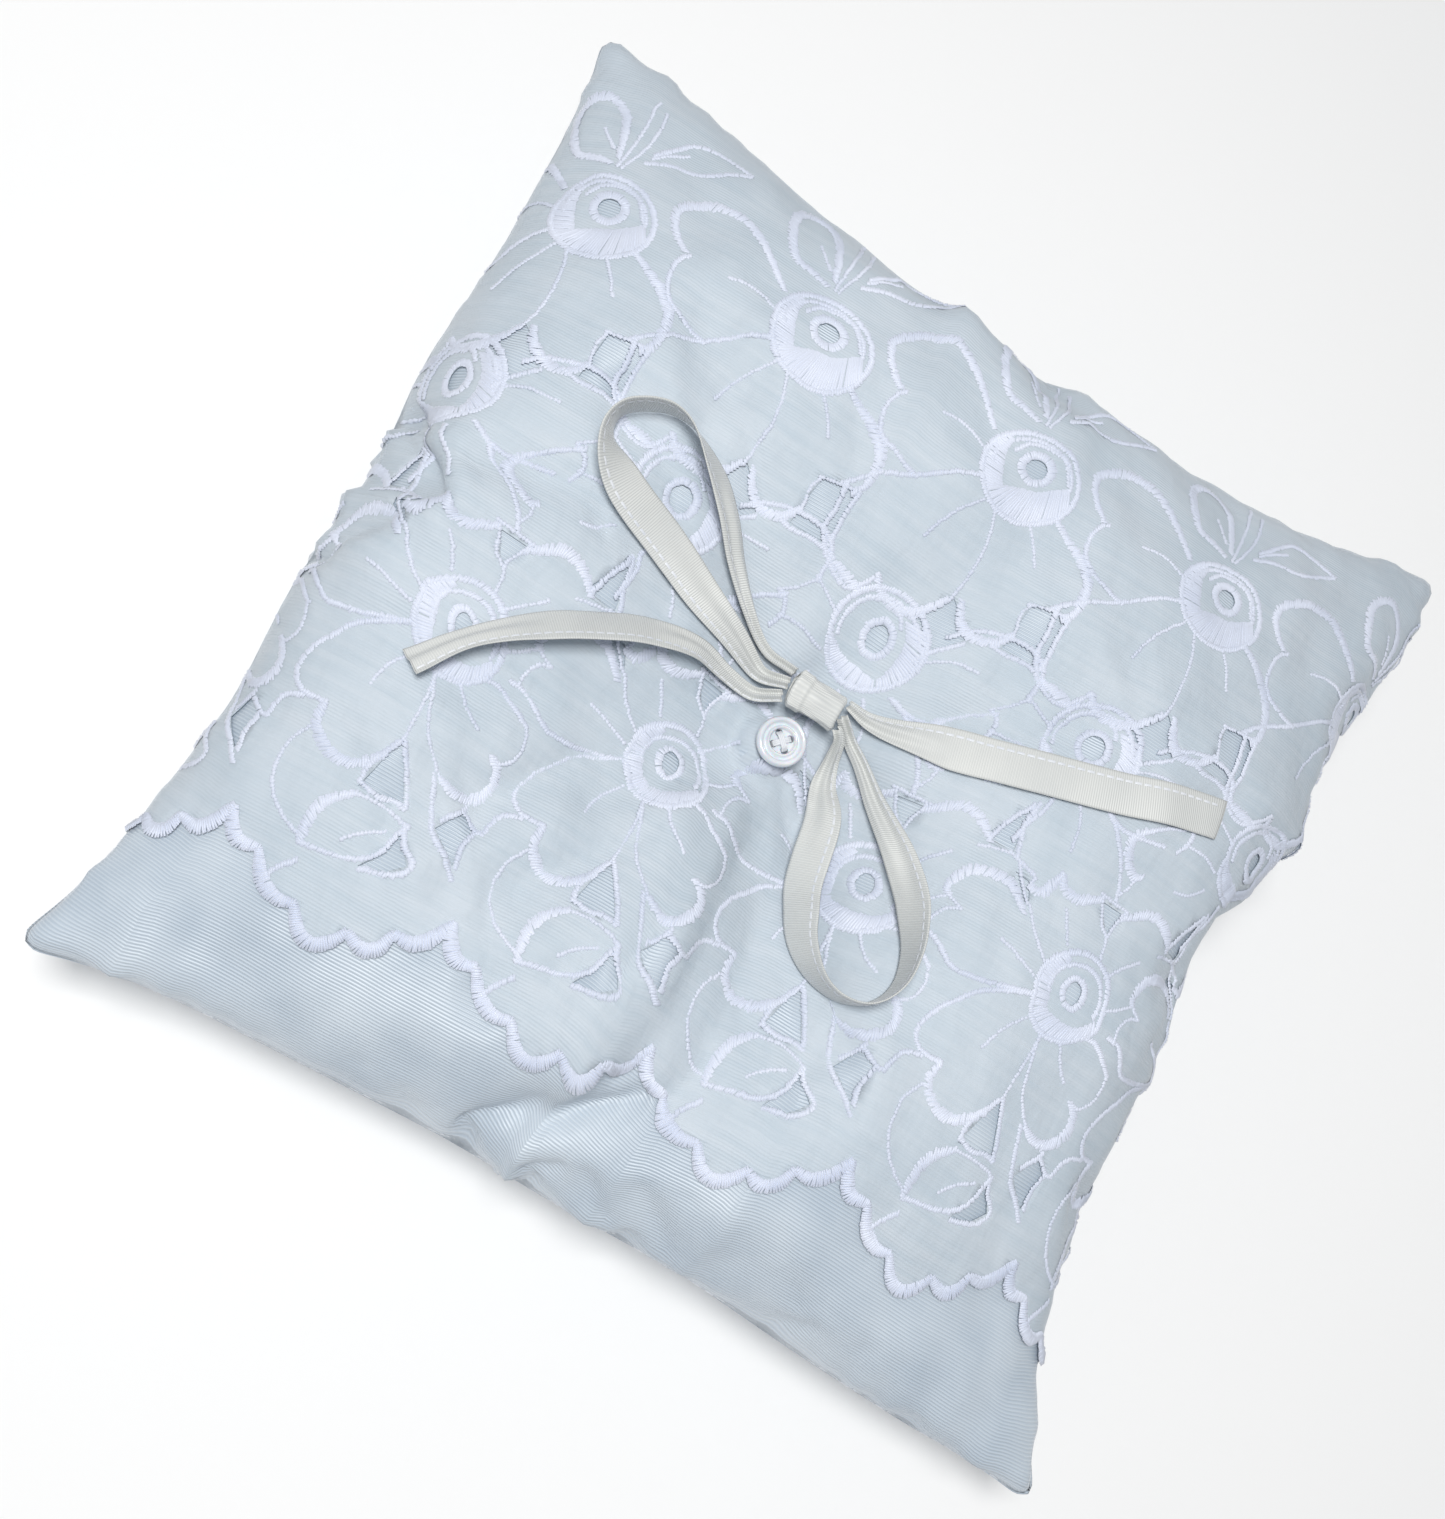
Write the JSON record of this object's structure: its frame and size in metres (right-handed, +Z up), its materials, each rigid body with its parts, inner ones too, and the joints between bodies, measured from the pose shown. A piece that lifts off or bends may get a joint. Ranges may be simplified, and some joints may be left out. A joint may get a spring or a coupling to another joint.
{
  "type": "ring bearer pillow",
  "caption": "Square tufted wedding ring pillow with an embroidered lace overlay, scalloped hem, pearl button and a ribbon bow whose loops and tails lift.",
  "frame": {"origin": "middle of the outline, on the surface that the pillow lies on", "axes": "+Z up out of the front panel, -Y towards the lace's free scalloped hem, +X along that hem to the right"},
  "size_m": [0.25, 0.25, 0.0857],
  "materials": {
    "faille": "pale bluish-white ribbed faille with a soft satin sheen",
    "organza": "fine, slightly sheer organza lying close on the faille",
    "embroidery": "raised white satin-stitch embroidery with cool shadows",
    "stuffing": "white polyester fibrefill",
    "ribbon": "ivory folded grosgrain with fine cross ribs and one line of edge stitching",
    "thread": "white sewing thread",
    "pearl": "glossy translucent pearl-white shirt button"
  },
  "bodies": {
    "pillow": {"back_cover": "faille", "front_cover": "faille", "fibrefill": "stuffing", "seam_thread": "thread", "lace_overlay": "organza", "lace_scalloped_hem": "embroidery", "flower_eye_1_1": "embroidery", "flower_eye_1_2": "embroidery", "flower_eye_1_3": "embroidery", "flower_eye_1_4": "embroidery", "flower_eye_2_1": "embroidery", "flower_eye_2_2": "embroidery", "flower_eye_2_3": "embroidery", "flower_eye_3_1": "embroidery", "flower_eye_3_2": "embroidery", "flower_eye_3_3": "embroidery", "flower_eye_3_4": "embroidery", "tufting_thread": "thread", "back_thread_knot": "thread", "bow_knot": "ribbon", "bow_tack_thread": "thread"},
    "button": {"button": "pearl", "button_thread": "thread"},
    "upper_loop": {"upper_bow_loop": "ribbon"},
    "lower_loop": {"lower_bow_loop": "ribbon"},
    "left_tail": {"left_ribbon_tail": "ribbon"},
    "right_tail": {"right_ribbon_tail": "ribbon"}
  },
  "joints": [
    {"name": "upper_loop_lift", "type": "hinge", "parent": "pillow", "child": "upper_loop", "pos_m": [-0.0155, 0.0016, 0.0625], "axis": [0, 1, 0], "range_deg": [0, 60]},
    {"name": "lower_loop_lift", "type": "hinge", "parent": "pillow", "child": "lower_loop", "pos_m": [-0.0015, -0.0016, 0.0625], "axis": [-0.8723, -0.489, 0], "range_deg": [0, 45]},
    {"name": "left_tail_lift", "type": "hinge", "parent": "pillow", "child": "left_tail", "pos_m": [-0.0155, -0.0032, 0.0625], "axis": [0, 1, 0], "range_deg": [0, 75]},
    {"name": "right_tail_lift", "type": "hinge", "parent": "pillow", "child": "right_tail", "pos_m": [-0.0015, 0.003, 0.0635], "axis": [0.2224, -0.975, 0], "range_deg": [0, 75]},
    {"name": "button_swivel", "type": "hinge", "parent": "pillow", "child": "button", "pos_m": [-0.0105, -0.0115, 0.0592], "axis": [0, 0, 1], "range_deg": [-20, 20], "stiffness_Nm_per_rad": 0.00001}
  ]
}
